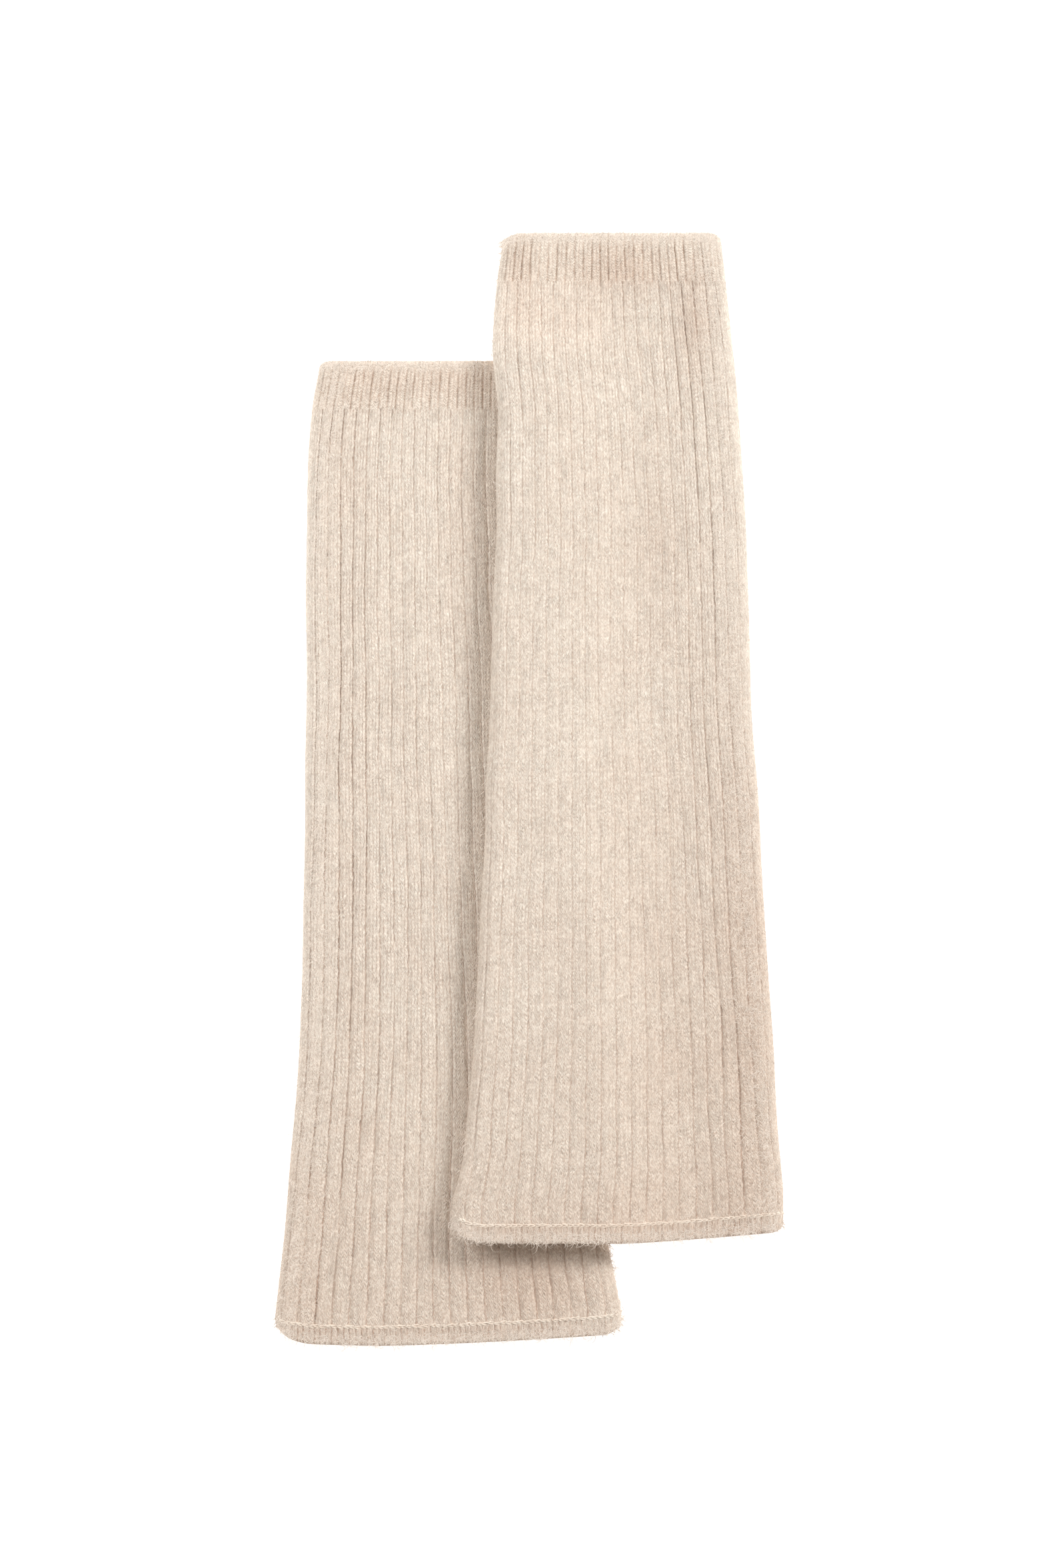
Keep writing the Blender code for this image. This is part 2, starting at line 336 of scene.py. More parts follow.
def lineStrength(glove, wales, along):
    # The fine lines between columns fade towards the elbow, where the fabric lies looser.
    fade, start, reach = relief["looser"]
    looser = fade * smoothStep((along - start) / reach)
    return np.minimum(ribStrength(glove, wales, along), relief["strongestLine"]) * (1.0 - looser)


def ribRelief(glove, wales, along):
    # How far the knitted face lies under its highest level, and how deep in a groove it is.
    share = cuffShare(glove, along)
    strength, lines = ribStrength(glove, wales, along), lineStrength(glove, wales, along)
    total, groove = 0.0, 0.0
    for band, part, column in (("body", 1.0 - share, 1.0), ("cuff", share, 0.5 * fabric["cuffRepeat"])):
        repeat = fabric[f"{band}Repeat"]
        depth, reach, dip = (relief[f"{band}{kind}"] for kind in ("Groove", "Reach", "Dip"))
        rib = np.floor(wales / repeat + 0.5)
        distance = np.abs(wales - rib * repeat)
        valley = 0.5 + 0.5 * np.cos(math.pi * np.minimum(distance / reach, 1.0))
        uneven = 1.0
        for (ribStep, wave, amount), seed in zip(relief["unevenWaves"], (repeat, 9)):
            change = ripple(rib * ribStep, along / wave, glove["seed"] + seed)
            uneven = uneven + amount * relief["unevenness"] * change
        uneven = np.clip(uneven, *relief["uneven"]) * strength
        between = (0.5 + 0.5 * np.cos(2.0 * math.pi * wales / column)) ** 2
        inward = depth * valley * uneven
        inward = inward + dip * between * (1.0 - valley) * lines
        inward = inward + relief["ribRound"] * (1.0 - 2.0 * distance / repeat) ** 2
        total = total + part * inward
        groove = groove + part * valley * uneven
    return total, np.clip(groove, 0.0, 1.5)


# How far the colour is darkened, from none to 1. Towards the elbow this is painted shade, for light that
# falls off along the glove; the cuff and the hem band are darker too.
darkening = {
    "along": 0.17,             # painted shade, growing evenly towards the elbow
    "nearElbow": 0.22,         # and grows most close to it
    "cuff": 0.24,
    "hem": (0.26, 0.002, 0.003),         # (amount, how far above the hem it starts, over how far)
    "drift": (0.06, 0.03, 0.05),         # (amount, width, length) of its soft changes
}


def toneAt(glove, points):
    along = glove["wristY"] - points[:, 1]
    part = along / glove["length"]
    # Painted shade: darker towards the elbow end, for light that falls off along the glove.
    tone = darkening["along"] * part + darkening["nearElbow"] * part ** 3
    tone = tone + darkening["cuff"] * cuffShare(glove, along)
    amount, above, reach = darkening["hem"]
    tone = tone + amount * smoothStep((along - glove["length"] + fabric["hemWidth"] + above) / reach)
    amount, wide, long = darkening["drift"]
    tone = tone + amount * ripple(points[:, 0] / wide, points[:, 1] / long, glove["seed"] + 11.0)
    # Darker patches: partly darker wool, partly painted shade and shadow
    for x, y, halfWidth, halfLength, strength in glove["darkerWoolAndPaintedShade"]:
        away = ((points[:, 0] - x) / halfWidth) ** 2 + ((points[:, 1] - y) / halfLength) ** 2
        tone = tone + strength * np.exp(-away)
    return np.clip(tone, 0.0, 1.0)


def foldShare(out):
    # Stitches are smoothed over where the fabric bends round a fold.
    least, level = relief["inFold"]
    return least + (1.0 - least) * smoothStep((np.abs(out[:, 2]) - level) / (1.0 - level))


def addShades(mesh, glove, points, groove, show=1.0, lines=1.0):
    # Values at each point that the materials read.
    every = np.ones(len(points))
    for name, values in (("groove", groove), ("tone", toneAt(glove, points)), ("show", show * every),
                         ("lines", lines * every)):
        shade = mesh.attributes.new(name, "FLOAT", "POINT")
        shade.data.foreach_set("value", np.asarray(values, np.float32))


def waleSamples():
    # Column positions once round: close together on the side that shows, wider underneath.
    wales = fabric["wales"]
    front = (4, wales // 2 + 5)
    samples = []
    for wale in range(wales):
        count = fabric["frontSamples"] if front[0] <= wale < front[1] else fabric["backSamples"]
        samples += [wale + step / count for step in range(count)]
    return np.array(samples)


def shellPiece(name, glove, rows, material, course=fabric["course"], columns=1.0):
    # One closed skin of fabric from rings of points: each row is (along, inset, relief, groove).
    wales = waleSamples()
    count = len(wales)
    points, grooves, shows, lines, courses = [], [], [], [], []
    for along, inset, inward, groove in rows:
        _, out = place(glove, wales, along)
        flat = foldShare(out)
        ring, _ = place(glove, wales, along, inset + inward * flat)
        points.append(ring)
        grooves.append(groove * flat)
        shows.append(flat * ribStrength(glove, wales, np.asarray(along)))
        lines.append(flat * lineStrength(glove, wales, np.asarray(along)))
        courses.append(float(np.mean(along)) / course)
    points = np.concatenate(points)
    rowCount = len(rows)
    row = np.arange(rowCount)[:, None]
    column = np.arange(count)[None, :]
    nextRow, nextColumn = (row + 1) % rowCount, (column + 1) % count
    corners = (row * count + column, row * count + nextColumn,
               nextRow * count + nextColumn, nextRow * count + column)
    faces = np.stack([np.broadcast_to(c, (rowCount, count)) for c in corners], -1).reshape(-1, 4)
    if glove["seamSide"] > 0:
        faces = faces[:, ::-1]
    mesh = bpy.data.meshes.new(name)
    mesh.from_pydata(points.tolist(), [], faces.tolist())
    stitches = mesh.uv_layers.new(name="stitches")
    waleAt = np.stack([wales, np.append(wales[1:], fabric["wales"])], -1) * columns
    courseAt = np.stack([courses, np.roll(courses, -1)], -1)
    courseAt[-1, 1] = courseAt[-1, 0]
    order = ((0, 0), (0, 1), (1, 1), (1, 0))
    loops = np.stack([
        np.stack([np.broadcast_to(waleAt[None, :, w], (rowCount, count)),
                  np.broadcast_to(courseAt[:, c, None], (rowCount, count))], -1)
        for c, w in order
    ], 2).reshape(-1, 4, 2)
    if glove["seamSide"] > 0:
        loops = loops[:, ::-1]
    stitches.data.foreach_set("uv", np.ascontiguousarray(loops, np.float32).ravel())
    addShades(mesh, glove, points, np.concatenate(grooves), np.concatenate(shows), np.concatenate(lines))
    mesh.shade_smooth()
    mesh.set_sharp_from_angle(angle=fabric["sharpAngle"])
    return addPiece(name, mesh, glove, material)


def addPiece(name, mesh, glove, material):
    piece = bpy.data.objects.new(name, mesh)
    bpy.context.scene.collection.objects.link(piece)
    mesh.materials.append(material)
    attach(piece, glove["body"])
    return piece


# The three bands of a glove. steps are rows of points along the glove.
bands = {
    "bodySteps": 168,
    "cuffSteps": 44,
    "hemSteps": 26,
    "innerStep": 0.014,
    "hemSink": 0.00008,        # how deep the hem starts, under the chain
    "hemTicks": 124,           # stitches once round the hem
    "tickDepth": 0.00044,
    "hemCourse": 0.0021,
    "tickWander": (0.5, 0.21, 0.02),     # (amount, change from column to column, length)
    "tickStrength": (0.6, 0.4, 0.33),    # (usual, how much it varies, change from column to column)
    "tickSpread": (1.1, 0.5),  # how soon and how softly it fades across the hem
    "hemRound": 0.8,           # 1 is a half round, less is fuller
    "tickShade": 0.5,
    "tuckReach": 0.0020,       # the body is drawn in over this length where the chain holds it
    "tuckDepth": 0.00010,
    "tuckFlattens": 0.6,       # how much of the ribs' relief it takes away
    "tuckLightens": 0.5,       # and of the grooves' darkness
}


def innerRows(start, end):
    # The inside of the fabric, from one end back to the other.
    count = max(int(abs(end - start) / bands["innerStep"]), 2)
    return [(along, fabric["wall"], 0.0, 0.5) for along in np.linspace(start, end, count + 1)]


def rimRows(end, outward, relieved, groove, steps=4):
    # The edge turns over from the outer face to the inner one in a half round.
    radius = 0.5 * fabric["wall"]
    rows = []
    for step in range(1, steps):
        angle = math.pi * step / steps
        along = end + outward * radius * math.sin(angle)
        inset = radius * (1.0 - math.cos(angle))
        fade = 0.5 + 0.5 * math.cos(angle)
        rows.append((along, inset, relieved * fade, groove * fade))
    return rows


def ribRow(glove, along):
    inward, groove = ribRelief(glove, waleSamples(), along)
    return along, 0.0, inward, groove


def makeBody(glove, material):
    start, end = glove["cuffEnd"], glove["length"] - fabric["hemWidth"]
    rows = []
    for along in np.linspace(start, end, bands["bodySteps"]):
        along, inset, inward, groove = ribRow(glove, along)
        tuck = smoothStep((along - end + bands["tuckReach"]) / bands["tuckReach"])
        inward = inward * (1.0 - bands["tuckFlattens"] * tuck) + bands["tuckDepth"] * tuck
        rows.append((along, inset, inward, groove * (1.0 - bands["tuckLightens"] * tuck)))
    rows += innerRows(end, start)
    return shellPiece(f"{glove['side']}BodyPanel", glove, rows, material)


def makeCuff(glove, material):
    radius = 0.5 * fabric["wall"]
    rows = [ribRow(glove, along) for along in np.linspace(radius, glove["cuffEnd"], bands["cuffSteps"])]
    _, _, edgeRelief, edgeGroove = rows[0]
    rim = rimRows(radius, -1.0, edgeRelief, edgeGroove)
    rows = rows + innerRows(glove["cuffEnd"], radius) + rim[::-1]
    scallop = relief["edgeScallop"] * np.clip(edgeGroove, 0.0, 1.0) / max(np.max(edgeGroove), 0.5)
    shaped = []
    for along, inset, inward, groove in rows:
        near = (1.0 - smoothStep(along / relief["scallopReach"])) * (1.0 - inset / fabric["wall"])
        shaped.append((along + scallop * near, inset, inward, groove))
    columns = 2.0 / fabric["cuffRepeat"]
    return shellPiece(f"{glove['side']}WristCuff", glove, shaped, material,
                      fabric["cuffCourse"], columns)


def hemRow(glove, along, start, end):
    # A soft round band, pulled in by a stitch every two millimetres or so.
    wales = waleSamples()
    part = (along - start) / (end - start)
    amount, change, length = bands["tickWander"]
    tickWander = amount * ripple(wales * change, along / length, glove["seed"] + 5.0)
    tick = 0.5 + 0.5 * np.cos(2.0 * math.pi * wales * bands["hemTicks"] / fabric["wales"] + tickWander)
    usual, varies, change = bands["tickStrength"]
    strength = usual + varies * ripple(wales * change, 0.0, glove["seed"] + 6.0)
    soon, soft = bands["tickSpread"]
    tick = tick ** 2 * strength * math.sin(math.pi * min(part * soon, 1.0)) ** soft
    rise = math.sin(math.pi * part ** bands["hemRound"]) ** bands["hemRound"]
    inward = bands["hemSink"] * (1.0 - rise) + bands["tickDepth"] * np.clip(tick, 0.0, 1.2)
    return along, 0.0, inward, bands["tickShade"] * np.clip(tick, 0.0, 1.0)


def makeHem(glove, material):
    radius = 0.5 * fabric["wall"]
    start, end = glove["length"] - fabric["hemWidth"], glove["length"] - radius
    places = np.linspace(start, end, bands["hemSteps"])
    rows = [hemRow(glove, along, start, glove["length"]) for along in places]
    last = rows[-1]
    rows += rimRows(end, 1.0, last[2], last[3], steps=6)
    rows += innerRows(end, start)
    columns = 2.0 * bands["hemTicks"] / fabric["wales"]
    return shellPiece(f"{glove['side']}ElbowHem", glove, rows, material,
                      bands["hemCourse"], columns)


# Chains of yarn loops: the linking round the hem and down the side seam.
chains = {
    "yarn": 0.00040,           # radius of the yarn
    "loopWidth": 0.00044,      # half the width of a loop
    "stray": 0.00012,          # how far a loop strays from the line
    "loopPitch": 0.0021,
    "overlap": 0.66,           # half the length of a loop, in pitches
    "loopPoints": 12,
    "sides": 6,
    "sinkTop": 0.00037,        # how deep the yarn's centre lies on the upper side
    "sinkUnder": 0.00058,      # and underneath
    "uneven": 0.15,            # how much a loop's size varies
    "narrowing": 0.45,         # how much narrower a loop's leading end is
    "tilt": 0.4,               # how far that end lifts, in yarn radii
    "seamMargin": 0.0025,      # the seam stops this far from both ends
}


def chainPiece(name, glove, line, material):
    # One yarn loop at each place of a line.
    points, faces = [], []
    sides, loopPoints = chains["sides"], chains["loopPoints"]
    draw = np.random.default_rng(int(glove["seed"] * 100) + 7)
    centre, along, across, out = line
    turn = 2.0 * math.pi * np.arange(loopPoints) / loopPoints
    for index in range(len(centre)):
        size, wide = 1.0 + chains["uneven"] * np.clip(draw.standard_normal(2), -2.0, 2.0)
        stray = chains["stray"] * np.clip(draw.standard_normal(2), -2.0, 2.0)
        forward = chains["overlap"] * chains["loopPitch"] * size * np.cos(turn)
        sideways = chains["loopWidth"] * wide * np.sin(turn) * (1.0 - chains["narrowing"] * np.cos(turn))
        lift = chains["tilt"] * chains["yarn"] * np.cos(turn)
        ring = (centre[index] + (forward + stray[0])[:, None] * along[index]
                + (sideways + stray[1])[:, None] * across[index] + lift[:, None] * out[index])
        way = unit(np.roll(ring, -1, 0) - np.roll(ring, 1, 0))
        side = unit(np.cross(way, np.broadcast_to(out[index], way.shape)))
        points.append(ringsAround(ring, side, np.cross(side, way), chains["yarn"], sides).reshape(-1, 3))
        start = index * sides * loopPoints
        for i in range(loopPoints):
            for k in range(sides):
                first, after = start + i * sides, start + (i + 1) % loopPoints * sides
                beside = (k + 1) % sides
                faces.append((first + k, first + beside, after + beside, after + k))
    mesh = bpy.data.meshes.new(name)
    points = np.concatenate(points)
    points[:, 2] = np.maximum(points[:, 2], lying["offTable"])
    mesh.from_pydata(points.tolist(), [], faces)
    # One even groove value, which the yarn's material turns into a little painted shade.
    addShades(mesh, glove, points, np.full(len(points), 0.5))
    mesh.shade_smooth()
    return addPiece(name, mesh, glove, material)


def chainLine(glove, wales, along, closed):
    # Where each loop's centre lies in the fabric, and its ways along, across and out.
    _, out = place(glove, wales, along)
    under = np.clip(1.0 - out[..., 2], 0.0, 1.0)
    depth = chains["sinkTop"] + (chains["sinkUnder"] - chains["sinkTop"]) * under
    centre, out = place(glove, wales, along, depth)
    way = unit(np.roll(centre, -1, 0) - np.roll(centre, 1, 0) if closed else np.gradient(centre, axis=0))
    return centre, way, np.cross(out, way), out


def makeHemChain(glove, material):
    wales = fabric["wales"] * (np.arange(bands["hemTicks"]) + 0.5) / bands["hemTicks"]
    line = chainLine(glove, wales, glove["length"] - fabric["hemWidth"], True)
    return chainPiece(f"{glove['side']}HemChain", glove, line, material)


def makeSideSeam(glove, material):
    margin = chains["seamMargin"]
    count = int((glove["length"] - 2.0 * margin) / chains["loopPitch"])
    along = np.linspace(margin, glove["length"] - margin, count)
    line = chainLine(glove, np.zeros(count), along, False)
    return chainPiece(f"{glove['side']}SideSeam", glove, line, material)


# The halo of loose wool fibres.
halo = {
    "overFace": 6500,
    "roundEdges": 13000,       # more stand out along the sides and at both ends
    "shortest": 0.0014,
    "longest": 0.0068,
    "thickness": 0.00012,      # radius at the root
    "steps": 5,
    "sides": 3,
    "stand": 0.60,             # how steeply a fibre leaves the fabric
    "curl": 0.75,
    "droop": 0.14,             # how much flatter it lies after each step
    "taper": 0.8,
    "shortShare": 2.6,         # the higher, the more of them are short
    "pastFold": 6.0,           # columns past the far fold where the last of them grow
    "foldColumns": (3.5, 1.0, 2.6),      # the near fold, the far one past half way, and the spread
    "atEnds": 0.24,            # share of the edge fibres at the wrist and at the hem
    "atWrist": 0.3,            # share of these at the wrist
    "wristBand": 0.003,        # how far in from each end they grow
    "hemBand": 0.004,
    "edgeGap": (0.0005, 0.0003),         # none grows closer to an end than this: others, edge ones
    "rootDepth": 0.0001,
    "grainStep": 0.0005,       # how far ahead the fabric's direction is read
    "standSpread": (0.3, 1.7),
    "droopSpread": (0.2, 1.8),
    "coverRoom": (0.001, 0.002),         # room left round the right glove, and at its elbow end
    "colorNoise": (300.0, 1.0),
    "colors": ((0.87, 0.78, 0.69), (0.77, 0.66, 0.57)),
}


def haloRoots(glove, draw):
    # Columns and distances along at which fibres grow.
    wales, length = fabric["wales"], glove["length"]
    face, edges = halo["overFace"], halo["roundEdges"]
    lastWale, half = 0.5 * wales + halo["pastFold"], 0.5 * wales
    gap, endGap = halo["edgeGap"]
    nearFold, pastHalf, spread = halo["foldColumns"]
    faceWales = draw.uniform(0.0, lastWale, face)
    faceAlong = draw.uniform(gap, length - gap, face)
    sideWales = np.where(draw.random(edges) < 0.5, nearFold, half + pastHalf)
    sideWales = sideWales + draw.normal(0.0, spread, edges)
    endWales = draw.uniform(0.0, lastWale, edges)
    isWrist = draw.random(edges) < halo["atWrist"]
    wristAlong = draw.uniform(endGap, halo["wristBand"], edges)
    endAlong = np.where(isWrist, wristAlong, length - draw.uniform(endGap, halo["hemBand"], edges))
    atEnd = draw.random(edges) < halo["atEnds"]
    edgeWales = np.where(atEnd, endWales, sideWales)
    edgeAlong = np.where(atEnd, endAlong, draw.uniform(gap, length - gap, edges))
    return np.concatenate((faceWales, edgeWales)), np.concatenate((faceAlong, edgeAlong))


def makeHalo(glove, material, seed):
    draw = np.random.default_rng(seed)
    wales, along = haloRoots(glove, draw)
    if glove["side"] == "left":
        surface, _ = place(glove, wales, along)
        keep = ~coveredByRight(surface)
        wales, along = wales[keep], along[keep]
    inward, _ = ribRelief(glove, wales, along)
    root, out = place(glove, wales, along, inward + halo["rootDepth"])
    ahead, _ = place(glove, wales, along + halo["grainStep"], inward)
    grain = unit(ahead - root)
    across = np.cross(out, grain)
    count = len(wales)
    longer = draw.random(count) ** halo["shortShare"]
    length = halo["shortest"] + (halo["longest"] - halo["shortest"]) * longer
    heading = draw.uniform(0.0, 2.0 * math.pi, count)
    rise = halo["stand"] * draw.uniform(*halo["standSpread"], count)
    bend = halo["curl"] * draw.standard_normal(count)
    steps, sides = halo["steps"], halo["sides"]
    position = root.copy()
    rings = []
    for step in range(steps + 1):
        way = (np.cos(rise)[:, None] * (np.cos(heading)[:, None] * across
                                        + np.sin(heading)[:, None] * grain)
               + np.sin(rise)[:, None] * out)
        side = unit(np.cross(way, out + 0.01))
        radius = halo["thickness"] * (1.0 - halo["taper"] * step / steps)
        rings.append(ringsAround(position, side, np.cross(side, way), radius, sides))
        position = position + way * (length / steps)[:, None]
        heading = heading + bend
        rise = rise - halo["droop"] * draw.uniform(*halo["droopSpread"], count)
    points = np.stack(rings, 1).reshape(count, -1, 3)
    points[:, :, 2] = np.maximum(points[:, :, 2], lying["offTable"])
    oneFibre = []
    for step in range(steps):
        for k in range(sides):
            a, b = step * sides + k, step * sides + (k + 1) % sides
            oneFibre.append((a, b, b + sides, a + sides))
    first = np.arange(count)[:, None] * (steps + 1) * sides
    quads = (first[:, None] + np.array(oneFibre)[None]).reshape(-1, 4)
    roots = (first + np.arange(sides)[None, ::-1]).tolist()
    tips = (first + steps * sides + np.arange(sides)[None]).tolist()
    name = f"{glove['side']}WoolHalo"
    mesh = bpy.data.meshes.new(name)
    mesh.from_pydata(points.reshape(-1, 3).tolist(), [], quads.tolist() + roots + tips)
    mesh.shade_smooth()
    fluff = addPiece(name, mesh, glove, material)
    fluff.visible_shadow = False           # far too fine to shade the fabric
    fluff.visible_diffuse = False
    return fluff


def coveredByRight(points):
    # True where the right glove lies over a point, with a little room to spare.
    right = gloves["right"]
    room, atElbow = halo["coverRoom"]
    along = right["wristY"] - points[:, 1]
    inside = points[:, 0] > curveAt(right["leftEdge"], along) - room
    inside &= points[:, 0] < curveAt(right["rightEdge"], along) + room
    return inside & (along > -room) & (along < right["length"] - atElbow)


# Wool colours are linear RGB.
wool = {
    "light": (0.957, 0.905, 0.803),
    "mid": (0.917, 0.831, 0.720),
    "warm": (0.952, 0.864, 0.752),
    "shade": (0.620, 0.535, 0.455),
    "deep": (0.590, 0.405, 0.305),
    "darker": (0.79, 0.690, 0.642),      # what full darkening multiplies the colour by, both for darker wool and for painted shade
    # Tones that show in patches over the light one: (tone, scale, detail, from, to, least, most).
    "patches": (
        ("warm", 60.0, 4.0, 0.35, 0.70, 0.0, 0.35),
        ("mid", 430.0, 2.0, 0.40, 0.70, 0.0, 0.8),
        ("shade", 820.0, 2.0, 0.36, 0.66, 0.0, 0.24),
        ("deep", 1500.0, 1.0, 0.55, 0.75, 0.0, 0.30),
    ),
    "surface": {
        "Roughness": 0.92,
        "Specular IOR Level": 0.15,
        "Sheen Weight": 0.18,
        "Sheen Roughness": 0.45,
        "Sheen Tint": (1.0, 0.95, 0.88, 1.0),
    },
    "fuzz": (1500.0, 3.0, 0.00013),      # (scale, detail, depth) of the bumps of the wool itself
    "yarnBumps": ((1300.0, 4.0), (520.0, 1.0), 0.00022),
}

# How unevenly the stitches lie and show. Patches are (scale, detail, from, to, least, most).
stitching = {
    "stray": (330.0, 2.0),     # scale and detail
    "waleStray": (1.0, -0.5),  # in columns
    "courseStray": 0.9,        # in courses
    "streakShape": (0.8, 0.07),          # streaks are narrow and long
    "streaks": (1.3, 1.0),
    "streakStray": 2.2,
    "legs": (190.0, 3.0, 0.34, 0.62, 0.26, 0.48),
    "lineEdge": (0.20, 0.02),  # from and to, in columns
    "lines": (2.2, 3.0, 0.30, 0.58, 0.12, 1.0),
    "grooves": (0.9, 4.0, 0.36, 0.62, 0.35, 1.0),
    "cellCourse": 0.62,
    "cells": (1.45, 2.0, 0.34, 0.66, 0.0, 0.62),   # how much one stitch differs from the next
    "hairs": (230.0, 410.0),
    "hairEdge": (0.018, 0.0),
    "hairShown": 0.22,
    "hairColor": (0.93, 0.87, 0.78),
    "legHeight": (0.78, 0.22),
    "lineHeight": 0.65,
    "hairHeight": 0.10,
    "depth": 0.00022,
}

# How the stitches show: shares are how far towards the deep colour, which paints shade into the rib
# grooves, the lines between columns and between the legs of each stitch.
bodyStitches = {
    "repeat": fabric["bodyRepeat"],
    "grooveWidth": 0.26,       # half of it, in columns
    "grooveDark": 0.44,
    "lineDark": 0.36,
    "legDark": 0.28,
    "rungs": 0.25,
}
cuffStitches = {
    "repeat": 2,
    "grooveWidth": 0.34,
    "grooveDark": 0.40,
    "lineDark": 0.38,
    "legDark": 0.12,
    "rungs": 0.80,
}
hemStitches = {
    "repeat": 2,
    "grooveWidth": 0.38,
    "grooveDark": 0.48,
    "lineDark": 0.20,
    "legDark": 0.16,
    "rungs": 0.50,
}


def plug(tree, socket, value):
    # Links another node's output to a socket, or sets the socket's own value.
    if isinstance(value, bpy.types.NodeSocket):
        tree.links.new(value, socket)
    else:
        socket.default_value = value


def addNode(tree, kind, settings=None, **inputs):
    # Adds a node and sets its properties. Inputs go by name, or by number as _0, _1 and so on.
    node = tree.nodes.new(kind)
    for key, value in (settings or {}).items():
        setattr(node, key, value)
    for key, value in inputs.items():
        plug(tree, node.inputs[int(key[1:]) if key[0] == "_" else key], value)
    return node


def maths(tree, operation, *values):
    inputs = {f"_{index}": value for index, value in enumerate(values)}
    return addNode(tree, "ShaderNodeMath", {"operation": operation}, **inputs).outputs[0]


def times(tree, first, second):
    return maths(tree, "MULTIPLY", first, second)


def mixColor(tree, share, first, second, blend="MIX"):
    node = addNode(tree, "ShaderNodeMix", {"data_type": "RGBA", "blend_type": blend}, _0=share)
    for index, color in ((6, first), (7, second)):
        plug(tree, node.inputs[index], (*color, 1.0) if isinstance(color, tuple) else color)
    return node.outputs[2]


def newWool(name):
    material = bpy.data.materials.new(name)
    material.use_nodes = True
    shader = material.node_tree.nodes["Principled BSDF"]
    for socket, value in wool["surface"].items():
        shader.inputs[socket].default_value = value
    return material, material.node_tree, shader


def noise(tree, where, scale, detail=2.0, output=0):
    return addNode(tree, "ShaderNodeTexNoise", Vector=where, Scale=scale, Detail=detail).outputs[output]


def ramp(tree, value, low, high, first=0.0, last=1.0):
    return addNode(tree, "ShaderNodeMapRange", {"interpolation_type": "SMOOTHSTEP"},
                   _0=value, _1=low, _2=high, _3=first, _4=last).outputs[0]


def patches(tree, where, scale, detail, low, high, least, most):
    return ramp(tree, noise(tree, where, scale, detail), low, high, least, most)


def combine(tree, x, y):
    return addNode(tree, "ShaderNodeCombineXYZ", _0=x, _1=y).outputs[0]


def shadeOf(tree, name):
    # A value that addShades gave the mesh.
    return addNode(tree, "ShaderNodeAttribute", {"attribute_name": name}).outputs["Fac"]


def objectPlace(tree):
    return addNode(tree, "ShaderNodeTexCoord").outputs["Object"]


def heather(tree, where):
    # Cream wool that drifts between a lighter, a darker and a warmer tone.
    color = wool["light"]
    for tone, *patch in wool["patches"]:
        color = mixColor(tree, patches(tree, where, *patch), color, wool[tone])
    return color


def hairLines(tree, where, scale):
    # Thin winding lines, where a noise passes through its middle value.
    value = noise(tree, where, scale, 1.0)
    return ramp(tree, maths(tree, "ABSOLUTE", maths(tree, "SUBTRACT", value, 0.5)), *stitching["hairEdge"])


def stitchPlace(tree, where):
    # The column and the course of a point, both straying a little, and its place in the streaks.
    stitch = addNode(tree, "ShaderNodeUVMap", {"uv_map": "stitches"}).outputs[0]
    column, row = addNode(tree, "ShaderNodeSeparateXYZ", _0=stitch).outputs[:2]
    stray = addNode(tree, "ShaderNodeSeparateXYZ", _0=noise(tree, where, *stitching["stray"], 1)).outputs
    wide, long = stitching["streakShape"]
    streak = combine(tree, times(tree, column, wide), times(tree, row, long))
    wale = maths(tree, "ADD", maths(tree, "MULTIPLY_ADD", stray[1], *stitching["waleStray"]), column)
    streaks = noise(tree, streak, *stitching["streaks"])
    course = maths(tree, "MULTIPLY_ADD", streaks, stitching["streakStray"], row)
    return wale, maths(tree, "MULTIPLY_ADD", stray[0], stitching["courseStray"], course), streak


def wave(tree, value):
    return maths(tree, "COSINE", times(tree, value, 2.0 * math.pi))


def ribGroove(tree, look, wale, course, streak):
    # The groove between ribs, crossed by the rungs of its stitches: a share used for bump and for painted
    # shade.
    away = maths(tree, "PINGPONG", wale, 0.5 * look["repeat"])
    groove = ramp(tree, away, look["grooveWidth"], 0.25 * look["grooveWidth"])
    strength = patches(tree, streak, *stitching["grooves"])
    rungs = maths(tree, "MULTIPLY_ADD", wave(tree, course), 0.5 * look["rungs"], 1.0 - 0.5 * look["rungs"])
    return times(tree, times(tree, groove, strength), times(tree, rungs, shadeOf(tree, "show")))


def knitColor(tree, look, where, cell, parts):
    legs, line, groove, hair = parts
    color = mixColor(tree, patches(tree, cell, *stitching["cells"]), heather(tree, where), wool["shade"])
    # Painted shade in the knit's hollows: between the legs, along the lines between columns, and in the
    # grooves.
    for share in (
        maths(tree, "MULTIPLY_ADD", legs, -look["legDark"], look["legDark"]),
        times(tree, line, look["lineDark"]),
        times(tree, groove, look["grooveDark"]),
    ):
        color = mixColor(tree, share, color, wool["deep"])
    color = mixColor(tree, times(tree, hair, stitching["hairShown"]), color, stitching["hairColor"])
    return toned(tree, color)


def knitHeight(tree, parts):
    legs, line, groove, hair = parts
    raised = maths(tree, "MULTIPLY_ADD", legs, *stitching["legHeight"])
    height = maths(tree, "SUBTRACT", raised, times(tree, line, stitching["lineHeight"]))
    height = maths(tree, "SUBTRACT", height, groove)
    return maths(tree, "MULTIPLY_ADD", hair, stitching["hairHeight"], height)


